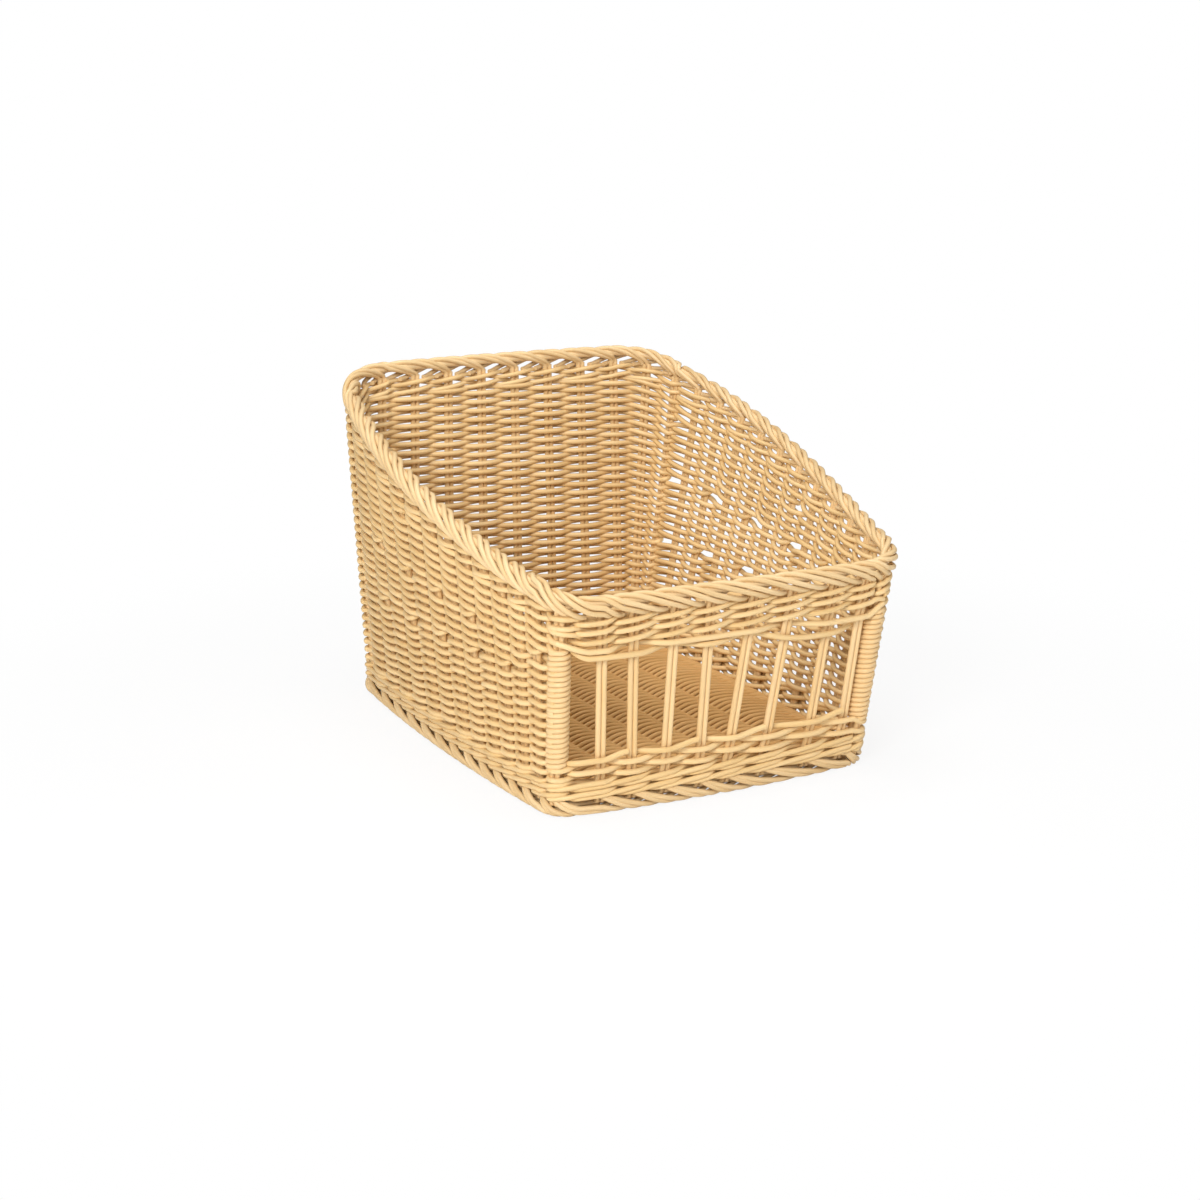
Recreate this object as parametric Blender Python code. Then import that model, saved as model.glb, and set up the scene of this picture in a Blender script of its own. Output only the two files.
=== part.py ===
"""Woven plastic display basket with a sloping rim and a barred window in its front.

The walls are ruled surfaces: every upright of the weave is a straight line from the
outline at the floor to the outline at the height of the back rim. Metres, +Z up, the
window faces -Y, and the origin is under the middle of the basket on the ground.
"""
import bisect
import math

import bmesh
import bpy
from mathutils import Vector

# Outline of the wall's middle surface at the ground
BASE_HALF_WIDTH = 0.1090
BASE_HALF_DEPTH = 0.1510
BASE_SIDE_BOW = 0.0070
BASE_BACK_BOW = 0.0035
BASE_FRONT_BOW = 0.0070
BASE_CORNER = 0.0125

# The same outline carried up to the height of the back rim
TOP_BACK_HALF_WIDTH = 0.1220
TOP_FRONT_HALF_WIDTH = 0.1205
TOP_BACK_REACH = 0.1490
TOP_FRONT_REACH = 0.1965
TOP_SIDE_BOW = 0.0260
TOP_BACK_BOW = 0.0085
TOP_FRONT_BOW = 0.0010
TOP_BACK_CORNER = 0.0330
TOP_FRONT_CORNER = 0.0285

# Rim line, at the middle of the rolled border
BACK_HEIGHT = 0.2315
FRONT_HEIGHT = 0.1380
SLOPE_START_SHARE = 0.0
SLOPE_END_SHARE = 0.95
SLOPE_SOFT_SHARE = 0.1

# Strands, walls and borders
STRAND = 0.0033
PAIR_LAP = 0.0003
WALL = 0.0080
WALL_WAIST = 0.0036
WALE_WALL = 0.0090
RIM_ROPE = 0.0100
FOOT_ROPE_WIDTH = 0.0115
FOOT_ROPE_HEIGHT = 0.0080
FOOT_WALE_HEIGHT = 0.0115
RIM_WALE_HEIGHT = 0.0110
FLOOR_THICKNESS = 0.0070
FLOOR_WAIST = 0.0036
STICK_SPACING = 0.0244
STICKS_SHIFT = -0.0066
BASE_STICKS = 8
GAP = 0.0003
WALE_GAP = 0.0008
BORDER_GAP = 0.0008
POST_SIDE_GAP = 0.0010

# Window in the front
WINDOW_FOOT = 0.0400
WINDOW_HEAD = 0.1020
POST_FOOT = 0.0340
POST_HEAD = 0.1080
RIGHT_POST_SHARE = 0.30
LEFT_POST_SHARE = 0.38
BAR_FOOT_SHARES = (0.077, 0.185, 0.297, 0.422, 0.516, 0.652, 0.828, 0.970)
BAR_CROWN_SHARES = (-0.145, 0.065, 0.242, 0.373, 0.585, 0.742, 0.895, 1.030)

# Wrapping of the window posts
WRAP_PITCH = 0.00375
WRAP_BEND = 0.0020
WRAP_POINTS = 14
BEND_STEPS = 3
END_TURN_SHARE = 0.5

# Stakes of the side and back walls: where each run of them starts, and its steps
RIGHT_RUN_SHARE = 0.99
BACK_RUN_SHARE = 0.08
LEFT_RUN_SHARE = 0.955
LAST_STAKE_SHARE = 0.981
RIGHT_STEPS = 11
BACK_STEPS = 11
LEFT_STEPS = 12
LEFT_CROWD_SHARE = 0.28
STAKES = RIGHT_STEPS + BACK_STEPS + LEFT_STEPS + 1

# Steps and points of the shapes
WALL_STEP_SHARE = 0.5
FRONT_STEPS = 8
CORNER_STEPS = 4
TURN_LIMIT = math.radians(10)
LENGTH_STEPS = 400
RIM_ROUNDS = 12
ROPE_SIDES = 12
PAIR_POINTS = 12
POST_POINTS = 16
LEAST_STEP_SHARE = 0.02
SMOOTH_ANGLE = math.radians(50)

# Foot border's section: width shares out from the wall, height shares up from the ground
FOOT_SECTION_SHARES = (
    (-0.36, 0.0), (0.36, 0.0), (0.5, 0.3), (0.48, 0.7), (0.28, 1.0),
    (-0.28, 1.0), (-0.48, 0.7), (-0.5, 0.3),
)

# Stations round an outline: four sides, each followed by its corner
LAP_COUNT = 8
BACK_CORNERS = (3.5, 5.5)

MATERIALS = {
    "woven_strand": ((0.76, 0.56, 0.30), 0.42),
    "upright_strand": ((0.80, 0.60, 0.34), 0.40),
    "wrapping_strand": ((0.80, 0.60, 0.34), 0.40),
    "border_strand": ((0.79, 0.59, 0.33), 0.40),
    "floor_strand": ((0.72, 0.52, 0.27), 0.42),
}


def clear_scene():
    for old in list(bpy.data.objects):
        bpy.data.objects.remove(old, do_unlink=True)


def make_material(name, colour, roughness):
    material = bpy.data.materials.new(name)
    material.use_nodes = True
    shader = material.node_tree.nodes["Principled BSDF"]
    shader.inputs["Base Color"].default_value = (*colour, 1.0)
    shader.inputs["Roughness"].default_value = roughness
    shader.inputs["Metallic"].default_value = 0.0
    return material


def ease(share):
    """A corner at zero, rounded over SLOPE_SOFT_SHARE: 0 before it, the share after it."""
    return SLOPE_SOFT_SHARE * math.log1p(math.exp(share / SLOPE_SOFT_SHARE))


class Level:
    """One closed outline: four bowed sides and four rounded corners, counterclockwise."""

    def __init__(self, front_half, back_half, front_reach, back_reach, bows, corners):
        self.corners = (
            Vector((-front_half, -front_reach)),
            Vector((front_half, -front_reach)),
            Vector((back_half, back_reach)),
            Vector((-back_half, back_reach)),
        )
        self.bows = bows
        self.trims = corners

    def side_share(self, side, share):
        """Share of the whole chord for a share of the side between its rounded corners."""
        chord = (self.corners[(side + 1) % 4] - self.corners[side]).length
        start = self.trims[side] / chord
        end = 1 - self.trims[(side + 1) % 4] / chord
        return start + (end - start) * share

    def side(self, side, share):
        """Place and direction on a bowed side."""
        first = self.corners[side]
        run = self.corners[(side + 1) % 4] - first
        out = Vector((run.y, -run.x)).normalized()
        along = self.side_share(side, share)
        bow = self.bows[side]
        place = first + run * along + out * (4 * bow * along * (1 - along))
        direction = run + out * (4 * bow * (1 - 2 * along))
        return place, direction.normalized()

    def corner(self, side, share):
        """Place and direction on the rounded corner that follows a side."""
        first, leave = self.side(side, 1)
        last, arrive = self.side((side + 1) % 4, 0)
        turn = leave.x * arrive.y - leave.y * arrive.x
        gap = last - first
        reach = (gap.x * arrive.y - gap.y * arrive.x) / turn
        middle = first + leave * reach
        place = first * (1 - share) ** 2 + middle * (2 * share * (1 - share)) + last * share ** 2
        direction = (middle - first) * (1 - share) + (last - middle) * share
        return place, direction.normalized()

    def at(self, station):
        """Sides run from an even station to the next odd one, corners from there on."""
        station = station % LAP_COUNT
        side = int(station // 2)
        share = station - 2 * side
        if share <= 1:
            return self.side(side, share)
        return self.corner(side, share - 1)


GROUND = Level(
    BASE_HALF_WIDTH, BASE_HALF_WIDTH, BASE_HALF_DEPTH, BASE_HALF_DEPTH,
    (BASE_FRONT_BOW, BASE_SIDE_BOW, BASE_BACK_BOW, BASE_SIDE_BOW),
    (BASE_CORNER, BASE_CORNER, BASE_CORNER, BASE_CORNER),
)
CROWN = Level(
    TOP_FRONT_HALF_WIDTH, TOP_BACK_HALF_WIDTH, TOP_FRONT_REACH, TOP_BACK_REACH,
    (TOP_FRONT_BOW, TOP_SIDE_BOW, TOP_BACK_BOW, TOP_SIDE_BOW),
    (TOP_FRONT_CORNER, TOP_FRONT_CORNER, TOP_BACK_CORNER, TOP_BACK_CORNER),
)


RIGHT_POST = 1 + RIGHT_POST_SHARE
LEFT_POST = 7 + LEFT_POST_SHARE
FIRST_STAKE = 1 + RIGHT_RUN_SHARE
FIRST_BACK_STAKE = 3 + BACK_RUN_SHARE
FIRST_LEFT_STAKE = 5 + LEFT_RUN_SHARE
LAST_STAKE = 6 + LAST_STAKE_SHARE

# Runs of uprights from post to post: start, end, steps, and how far they crowd to the end
STAKE_RUNS = (
    (RIGHT_POST, FIRST_STAKE, 1, 0.0),
    (FIRST_STAKE, FIRST_BACK_STAKE, RIGHT_STEPS, 0.0),
    (FIRST_BACK_STAKE, FIRST_LEFT_STAKE, BACK_STEPS, 0.0),
    (FIRST_LEFT_STAKE, LAST_STAKE, LEFT_STEPS, LEFT_CROWD_SHARE),
    (LAST_STAKE, LEFT_POST, 1, 0.0),
)


def measure_crown():
    """Stations from the right post round the back to the left post, with lengths so far."""
    span = LEFT_POST - RIGHT_POST
    places = [RIGHT_POST + span * step / LENGTH_STEPS for step in range(LENGTH_STEPS + 1)]
    points = [CROWN.at(place)[0] for place in places]
    lengths = [0.0]
    for first, last in zip(points, points[1:]):
        lengths.append(lengths[-1] + (last - first).length)
    return places, lengths


CROWN_PLACES, CROWN_LENGTHS = measure_crown()


def read_across(value, known, wanted):
    """The value of one rising list where another rising list has the given value."""
    index = min(max(bisect.bisect_right(known, value), 1), len(known) - 1)
    share = (value - known[index - 1]) / (known[index] - known[index - 1])
    return wanted[index - 1] + (wanted[index] - wanted[index - 1]) * share


def wall_upright(number):
    """Upright of the side and back walls: 0 at the right post, STAKES + 1 at the left one."""
    for start, end, steps, crowd in STAKE_RUNS:
        if number <= steps:
            break
        number -= steps
    share = number / steps
    share += crowd * share * (1 - share)
    first, last = (read_across(place, CROWN_PLACES, CROWN_LENGTHS) for place in (start, end))
    station = read_across(first + (last - first) * share, CROWN_LENGTHS, CROWN_PLACES)
    return station, station


def rule(upright, out=0.0, slide=0.0):
    """A straight line up the wall, pushed out of its surface or along it."""
    ends = []
    for level, station in zip((GROUND, CROWN), upright):
        point, direction = level.at(station)
        ends.append(point + Vector((direction.y, -direction.x)) * out + direction * slide)
    return ends


def on_rule(ends, height):
    flat = ends[0].lerp(ends[1], height / BACK_HEIGHT)
    return Vector((flat.x, flat.y, height))


def side_height(side, share):
    """Height of the rim line on a side, between its rounded corners."""
    if side == 0:
        return FRONT_HEIGHT
    if side == 2:
        return BACK_HEIGHT
    along = CROWN.side_share(side, share)
    from_back = 1 - along if side == 1 else along
    fall = (from_back - SLOPE_START_SHARE) / (SLOPE_END_SHARE - SLOPE_START_SHARE)
    return BACK_HEIGHT - (BACK_HEIGHT - FRONT_HEIGHT) * (ease(fall) - ease(fall - 1))


def rim_height_at(station):
    station = station % LAP_COUNT
    side = int(station // 2)
    share = station - 2 * side
    if share <= 1:
        return side_height(side, share)
    share -= 1
    level = FRONT_HEIGHT if side in (0, 3) else BACK_HEIGHT
    start = side_height(side, 1)
    end = side_height((side + 1) % 4, 0)
    return start * (1 - share) ** 2 + level * (2 * share * (1 - share)) + end * share ** 2


def rim_point(upright):
    """Where an upright meets the rim line."""
    ground, crown = upright
    height = FRONT_HEIGHT
    for _ in range(RIM_ROUNDS):
        height = rim_height_at(ground + (crown - ground) * height / BACK_HEIGHT)
    return on_rule(rule(upright), height)


def under_rim(upright, drop, slide=0.0):
    """Height at a drop below the rim line, measured square to its slope."""
    step = 1 / (2 * LAP_COUNT)
    first = rim_point([station - step for station in upright])
    last = rim_point([station + step for station in upright])
    slope = (last.z - first.z) / math.hypot(last.x - first.x, last.y - first.y)
    return rim_point(upright).z + slope * slide - drop * math.hypot(1, slope)


def stake_gap_near(station):
    """Middle of the space between two stakes that lies nearest to a station."""
    return min((number + 0.5 for number in range(STAKES + 1)),
               key=lambda place: abs(wall_upright(place)[0] - station))


UNDER_BORDER = RIM_ROPE / 2 + BORDER_GAP
UNDER_WALE = UNDER_BORDER + RIM_WALE_HEIGHT + WALE_GAP
ABOVE_FOOT = FOOT_ROPE_HEIGHT + GAP
ABOVE_WALE = ABOVE_FOOT + FOOT_WALE_HEIGHT + GAP


def spacing_at(number, height):
    """Distance at a height from one upright to the next."""
    first, last = (on_rule(rule(wall_upright(step)), height) for step in (number, number + 1))
    return (last - first).length


def wall_numbers(start, end):
    """Steps along the side and back walls, closer together where the outline turns.

    Apart from the ends, a step falls on every upright and halfway between two.
    """
    first = math.floor(start / WALL_STEP_SHARE) + 1
    last = math.ceil(end / WALL_STEP_SHARE)
    numbers = [start] + [WALL_STEP_SHARE * step for step in range(first, last)] + [end]
    found = [start]
    for first, last in zip(numbers, numbers[1:]):
        turn = max(
            level.at(a)[1].angle(level.at(b)[1])
            for level, a, b in zip((GROUND, CROWN), wall_upright(first), wall_upright(last)))
        steps = math.ceil(turn / TURN_LIMIT)
        found += [first + (last - first) * step / steps for step in range(1, steps + 1)]
    return found


def ridge(number, full, waist):
    """Thickness of a weave: full at every upright and thinnest halfway between two."""
    return waist + (full - waist) * abs(2 * (number % 1) - 1)


def front_uprights(start, end):
    """Uprights along the front, closer together on its two corners."""
    places = [start]
    left_corner, front, right_corner = LAP_COUNT - 1, LAP_COUNT, LAP_COUNT + 1
    for part, steps in (
            (left_corner, CORNER_STEPS), (front, FRONT_STEPS), (right_corner, CORNER_STEPS)):
        for step in range(steps):
            place = part + step / steps
            if start + LEAST_STEP_SHARE < place < end - LEAST_STEP_SHARE:
                places.append(place)
    places.append(end)
    return [(place, place) for place in places]


def finish(bm, name, material, origin):
    """Turn a bmesh into one named piece, smooth where it is round."""
    bmesh.ops.recalc_face_normals(bm, faces=bm.faces)
    mesh = bpy.data.meshes.new(name)
    bm.to_mesh(mesh)
    bm.free()
    mesh.shade_smooth()
    mesh.set_sharp_from_angle(angle=SMOOTH_ANGLE)
    mesh.materials.append(material)
    piece = bpy.data.objects.new(name, mesh)
    bpy.context.collection.objects.link(piece)
    piece.parent = origin
    return piece


def ruled_bmesh(loops):
    """A solid between a lower and an upper face, its walls along straight rules.

    Each loop is a list of (rule, lower height, upper height). The first loop is the
    outline, the others are holes that run right through.
    """
    bm = bmesh.new()
    twin = {}
    rings = []
    edges = []
    for loop in loops:
        lower = [bm.verts.new(on_rule(ends, low)) for ends, low, high in loop]
        upper = [bm.verts.new(on_rule(ends, high)) for ends, low, high in loop]
        twin.update(zip(lower, upper))
        rings.append((lower, upper))
        for index, vert in enumerate(lower):
            edges.append(bm.edges.new((lower[index - 1], vert)))
    filled = bmesh.ops.triangle_fill(
        bm, use_beauty=True, use_dissolve=False, edges=edges, normal=Vector((0, 0, 1)))
    for face in [item for item in filled["geom"] if isinstance(item, bmesh.types.BMFace)]:
        bm.faces.new([twin[vert] for vert in reversed(face.verts)])
    for lower, upper in rings:
        for index in range(len(lower)):
            wall_faces(bm, lower[index - 1], lower[index], upper[index], upper[index - 1])
    return bm


def wall_faces(bm, first, second, third, fourth):
    """Two triangles split along the shorter diagonal, so that twisted neighbours agree."""
    if (first.co - third.co).length < (second.co - fourth.co).length:
        bm.faces.new((first, second, third))
        bm.faces.new((first, third, fourth))
    else:
        bm.faces.new((first, second, fourth))
        bm.faces.new((second, third, fourth))


def bundle_outline(centres, count):
    """Outline of round strands laid together, seen from the middle of the bundle."""
    points = []
    for index in range(count):
        angle = 2 * math.pi * index / count
        reach = 0.0
        for along, out in centres:
            ahead = along * math.cos(angle) + out * math.sin(angle)
            aside = along * math.sin(angle) - out * math.cos(angle)
            if abs(aside) < STRAND / 2:
                reach = max(reach, ahead + math.sqrt((STRAND / 2) ** 2 - aside ** 2))
        points.append((reach * math.cos(angle), reach * math.sin(angle)))
    return points


LOBE = (STRAND - PAIR_LAP) / 2
PAIR = bundle_outline(((LOBE, 0), (-LOBE, 0)), PAIR_POINTS)
POST = bundle_outline(((LOBE, LOBE), (-LOBE, LOBE), (-LOBE, -LOBE), (LOBE, -LOBE)), POST_POINTS)
WRAP_REACH = max(math.hypot(along, out) for along, out in POST) + GAP + STRAND / 2


def box_round(outline):
    """Rectangle that clears an upright's outline all round."""
    along = max(x for x, y in outline) + GAP
    out = max(y for x, y in outline) + GAP
    return ((-along, -out), (along, -out), (along, out), (-along, out))


def upright_loop(outline, upright, low, high):
    """One upright's outline, with heights from functions of the upright and the slide."""
    return [(rule(upright, out, slide), low(upright, slide), high(upright, slide))
            for slide, out in outline]


def level_line(height):
    return lambda upright, slide=0.0: height


def rim_line(drop):
    return lambda upright, slide=0.0: under_rim(upright, drop, slide)


def window_line(middle, ends):
    """Edge of the window: level between the bars, sloping to the posts in its last steps."""
    def height(upright, slide=0.0):
        ground, crown = upright
        share = (ground + (crown - ground) * middle / BACK_HEIGHT + 1) % LAP_COUNT - 1
        lift = min(1, max(0, min(share, 1 - share) * FRONT_STEPS))
        return ends + (middle - ends) * lift
    return height


def strip_solid(uprights, walls, low, high, holes, closed=False):
    """A stretch of woven wall between two edges, with channels for its uprights."""
    outer = [(rule(u, wall / 2), low(u), high(u)) for u, wall in zip(uprights, walls)]
    inner = [(rule(u, -wall / 2), low(u), high(u)) for u, wall in zip(uprights, walls)]
    channels = [upright_loop(box_round(outline), u, low, high) for outline, u in holes]
    if closed:
        return ruled_bmesh([outer, inner] + channels)
    return ruled_bmesh([outer + inner[::-1]] + channels)


def ring_bmesh(sections):
    """A closed rope from its sections, each a list of points in the same order."""
    bm = bmesh.new()
    rings = [[bm.verts.new(point) for point in section] for section in sections]
    for index, ring in enumerate(rings):
        before = rings[index - 1]
        for corner in range(len(ring)):
            bm.faces.new((before[corner - 1], before[corner], ring[corner], ring[corner - 1]))
    return bm


def rim_border_bmesh(uprights):
    points = [rim_point(upright) for upright in uprights]
    sections = []
    for index, point in enumerate(points):
        run = (points[(index + 1) % len(points)] - points[index - 1]).normalized()
        side = run.cross(Vector((0, 0, 1))).normalized()
        up = side.cross(run)
        section = []
        for corner in range(ROPE_SIDES):
            angle = 2 * math.pi * corner / ROPE_SIDES
            section.append(point + (side * math.cos(angle) + up * math.sin(angle)) * (RIM_ROPE / 2))
        sections.append(section)
    return ring_bmesh(sections)


def foot_border_bmesh(uprights):
    section = [(FOOT_ROPE_WIDTH * out, FOOT_ROPE_HEIGHT * up) for out, up in FOOT_SECTION_SHARES]
    return ring_bmesh([[on_rule(rule(u, out), up) for out, up in section] for u in uprights])


def floor_bmesh(uprights):
    """The floor, ridged above and below over each stick that runs from front to back."""
    inset = -(WALE_WALL / 2 + GAP)
    middle = ABOVE_FOOT + FLOOR_THICKNESS / 2
    first_stick = STICKS_SHIFT - STICK_SPACING * (BASE_STICKS - 1) / 2
    bm = bmesh.new()
    bm.faces.new([bm.verts.new(on_rule(rule(u, inset), ABOVE_FOOT)) for u in uprights])
    for step in range(2 * BASE_STICKS + 1):
        fold = Vector((first_stick + STICK_SPACING * (step - 1) / 2, 0, 0))
        parts = bm.verts[:] + bm.edges[:] + bm.faces[:]
        bmesh.ops.bisect_plane(bm, geom=parts, plane_co=fold, plane_no=Vector((1, 0, 0)))
    grown = bmesh.ops.extrude_face_region(bm, geom=bm.faces[:])
    upper = {item for item in grown["geom"] if isinstance(item, bmesh.types.BMVert)}
    for vert in bm.verts:
        number = (vert.co.x - first_stick) / STICK_SPACING
        beyond = number < -0.5 or number > BASE_STICKS - 0.5
        half = (FLOOR_WAIST if beyond else ridge(number, FLOOR_THICKNESS, FLOOR_WAIST)) / 2
        vert.co.z = middle + (half if vert in upper else -half)
    return bm


def wrap_points(upright, low, high):
    """Centre line of the strand wound round a post, from its foot to its head.

    It stands up from the lower band on the outside, winds round the post, and runs
    up into the upper band on the inside, each end straight for one strand.
    """
    axis = rule(upright)
    along = rule(upright, 0.0, 1.0)
    out = rule(upright, 1.0)
    start = low + GAP + STRAND + WRAP_BEND
    rise = high - GAP - STRAND - WRAP_BEND - start
    turns = math.floor(rise / WRAP_PITCH - END_TURN_SHARE) + END_TURN_SHARE
    pitch = rise / turns

    def loop_point(turn):
        angle = 2 * math.pi * turn
        height = start + pitch * turn
        centre = on_rule(axis, height)
        sideways = on_rule(along, height) - centre
        outward = on_rule(out, height) - centre
        return centre + (sideways * math.sin(angle) + outward * math.cos(angle)) * WRAP_REACH

    count = round(turns * WRAP_POINTS)
    loops = [loop_point(turns * index / count) for index in range(count + 1)]
    foot = end_run(loops[0], loops[1], -1)
    head = end_run(loops[-1], loops[-2], 1)
    return foot[::-1] + loops + head, turns


def end_run(last, before, rise):
    """Bend from the last loop to upright, then straight on for one strand."""
    away = last - before
    away.z = 0
    away.normalize()
    upward = Vector((0, 0, rise * WRAP_BEND))
    points = []
    for step in range(1, BEND_STEPS + 1):
        angle = math.pi / 2 * step / BEND_STEPS
        points.append(last + away * (WRAP_BEND * math.sin(angle)) + upward * (1 - math.cos(angle)))
    points.append(points[-1] + Vector((0, 0, rise * STRAND)))
    return points


def wrap_piece(name, points, material, origin):
    curve = bpy.data.curves.new(name, "CURVE")
    curve.dimensions = "3D"
    curve.bevel_depth = STRAND / 2
    curve.bevel_resolution = 1
    curve.use_fill_caps = True
    spline = curve.splines.new("POLY")
    spline.points.add(len(points) - 1)
    for target, point in zip(spline.points, points):
        target.co = (*point, 1.0)
    curve.materials.append(material)
    piece = bpy.data.objects.new(name, curve)
    bpy.context.collection.objects.link(piece)
    piece.parent = origin
    return piece


def least_gap(points):
    """Least gap of a wound strand to itself, between points over half a loop apart."""
    apart = WRAP_POINTS // 2
    least = min(
        (points[first] - points[last]).length
        for first in range(len(points))
        for last in range(first + apart, len(points)))
    return least - STRAND


def upright_piece(name, outline, upright, material, origin):
    """A bundle of strands standing on the foot border and reaching up to the rim border."""
    loop = upright_loop(outline, upright, level_line(ABOVE_FOOT), rim_line(UNDER_BORDER))
    return finish(ruled_bmesh([loop]), name, material, origin)


def main():
    clear_scene()
    looks = {name: make_material(name, *look) for name, look in MATERIALS.items()}
    origin = bpy.data.objects.new("basket_origin", None)
    bpy.context.collection.objects.link(origin)

    stakes = [wall_upright(number) for number in range(1, STAKES + 1)]
    bars = list(zip(BAR_FOOT_SHARES, BAR_CROWN_SHARES))
    posts = {"left": (LEFT_POST, LEFT_POST), "right": (RIGHT_POST, RIGHT_POST)}
    front_holes = [(PAIR, bar) for bar in bars] + [(POST, post) for post in posts.values()]
    lap_holes = front_holes + [(PAIR, stake) for stake in stakes]
    front = front_uprights(LEFT_POST, RIGHT_POST + LAP_COUNT)

    # The wall is laid out in runs that meet beside each post and at the back corners
    last = STAKES + 1
    post_clearance = WRAP_REACH + STRAND / 2 + POST_SIDE_GAP
    right_joint = post_clearance / spacing_at(0, POST_FOOT)
    left_joint = last - post_clearance / spacing_at(STAKES, POST_FOOT)
    joints = [right_joint] + [stake_gap_near(corner) for corner in BACK_CORNERS] + [left_joint]
    runs = [wall_numbers(start, end) for start, end in zip([0] + joints, joints + [last])]
    lap = [wall_upright(number) for run in runs for number in run[:-1]] + front[:-1]

    rim = finish(rim_border_bmesh(lap), "rim_border", looks["border_strand"], origin)
    depths = [vert.co.y for vert in rim.data.vertices]
    origin.location.y = -(min(depths) + max(depths)) / 2
    finish(foot_border_bmesh(lap), "foot_border", looks["border_strand"], origin)

    wale_walls = [WALE_WALL] * len(lap)
    foot_wale = strip_solid(
        lap, wale_walls, level_line(ABOVE_FOOT), level_line(ABOVE_FOOT + FOOT_WALE_HEIGHT),
        lap_holes, closed=True)
    finish(foot_wale, "foot_wale", looks["woven_strand"], origin)
    rim_wale = strip_solid(
        lap, wale_walls, rim_line(UNDER_BORDER + RIM_WALE_HEIGHT), rim_line(UNDER_BORDER),
        lap_holes, closed=True)
    finish(rim_wale, "rim_wale", looks["woven_strand"], origin)

    half_gaps = [GAP / 2 / spacing_at(math.floor(joint), ABOVE_WALE) for joint in joints]
    names = ("right_wall_weave", "back_wall_weave", "left_wall_weave")
    for name, run, start_gap, end_gap in zip(names, runs[1:4], half_gaps, half_gaps[1:]):
        numbers = [run[0] + start_gap] + run[1:-1] + [run[-1] - end_gap]
        inside = [(PAIR, stakes[number - 1]) for number in range(1, last) if run[0] < number < run[-1]]
        wall = strip_solid(
            [wall_upright(number) for number in numbers],
            [ridge(number, WALL, WALL_WAIST) for number in numbers],
            level_line(ABOVE_WALE), rim_line(UNDER_WALE), inside)
        finish(wall, name, looks["woven_strand"], origin)

    left_end = [runs[4][0] + half_gaps[-1]] + runs[4][1:-1]
    right_end = runs[0][1:-1] + [runs[0][-1] - half_gaps[0]]
    band = [wall_upright(number) for number in left_end] + front
    band += [wall_upright(number) for number in right_end]
    band_walls = [WALL] * len(band)
    lower = strip_solid(
        band, band_walls, level_line(ABOVE_WALE), window_line(WINDOW_FOOT, POST_FOOT), front_holes)
    finish(lower, "front_lower_band", looks["woven_strand"], origin)
    upper = strip_solid(
        band, band_walls, window_line(WINDOW_HEAD, POST_HEAD), rim_line(UNDER_WALE), front_holes)
    finish(upper, "front_upper_band", looks["woven_strand"], origin)

    for number, stake in enumerate(stakes, 1):
        upright_piece(f"wall_stake_{number:02d}", PAIR, stake, looks["upright_strand"], origin)
    for number, bar in enumerate(bars, 1):
        upright_piece(f"window_bar_{number}", PAIR, bar, looks["upright_strand"], origin)

    # The floor is one solid with the sticks that it is woven round
    finish(floor_bmesh(lap), "floor_weave", looks["floor_strand"], origin)

    for side, post in posts.items():
        upright_piece(f"{side}_post_core", POST, post, looks["upright_strand"], origin)
        points, turns = wrap_points(post, POST_FOOT, POST_HEAD)
        wrap_piece(f"{side}_post_wrap", points, looks["wrapping_strand"], origin)
        print(f"{side}_post_wrap: {turns} loops, least gap {least_gap(points) * 1000:.2f} mm")


main()
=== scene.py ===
"""Looks of the woven plastic display basket, strand by strand.

The basket's uprights are numbered round its wall: the right window post is 0, the wall
stakes follow round the back, then come the left post, the window bars and the right post
again. A place on the wall is such a number, a height, and a distance out of the wall.
Every strand is a tube laid along a path of such places.
"""
import math

import bpy
import numpy as np
from bpy.props import FloatProperty, FloatVectorProperty, IntProperty, PointerProperty
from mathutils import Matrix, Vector


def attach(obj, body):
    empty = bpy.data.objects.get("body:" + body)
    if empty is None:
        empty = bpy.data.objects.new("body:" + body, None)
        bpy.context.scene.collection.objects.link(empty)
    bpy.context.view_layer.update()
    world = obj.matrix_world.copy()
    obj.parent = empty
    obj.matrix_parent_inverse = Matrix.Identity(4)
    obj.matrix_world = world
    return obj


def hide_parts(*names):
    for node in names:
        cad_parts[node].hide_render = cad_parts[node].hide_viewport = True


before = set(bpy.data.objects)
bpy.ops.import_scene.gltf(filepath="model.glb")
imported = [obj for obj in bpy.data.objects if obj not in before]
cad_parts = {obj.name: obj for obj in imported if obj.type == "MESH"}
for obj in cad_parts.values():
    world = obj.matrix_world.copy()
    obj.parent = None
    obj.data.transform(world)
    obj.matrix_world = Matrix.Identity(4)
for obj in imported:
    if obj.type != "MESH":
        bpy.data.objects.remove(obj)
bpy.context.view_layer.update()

bl_info = {
    "name": "Woven Display Basket",
    "version": (1, 0, 0),
    "blender": (4, 5, 0),
    "location": "3D View > Sidebar > Basket",
    "description": "Lays every strand of a woven plastic display basket",
    "category": "Object",
}

# Outline of the wall's middle surface at the ground and at the height of the back rim
BASE_HALF_WIDTH = 0.1090
BASE_HALF_DEPTH = 0.1510
BASE_BOWS = (0.0070, 0.0070, 0.0035, 0.0070)
BASE_CORNER = 0.0125
TOP_FRONT_HALF_WIDTH = 0.1205
TOP_BACK_HALF_WIDTH = 0.1220
TOP_FRONT_REACH = 0.1965
TOP_BACK_REACH = 0.1490
TOP_BOWS = (0.0010, 0.0260, 0.0085, 0.0260)
TOP_FRONT_CORNER = 0.0285
TOP_BACK_CORNER = 0.0330

# Rim line, at the middle of the rolled border
BACK_HEIGHT = 0.2315
FRONT_HEIGHT = 0.1380
SLOPE_END_SHARE = 0.95
SLOPE_SOFT_SHARE = 0.1

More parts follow.
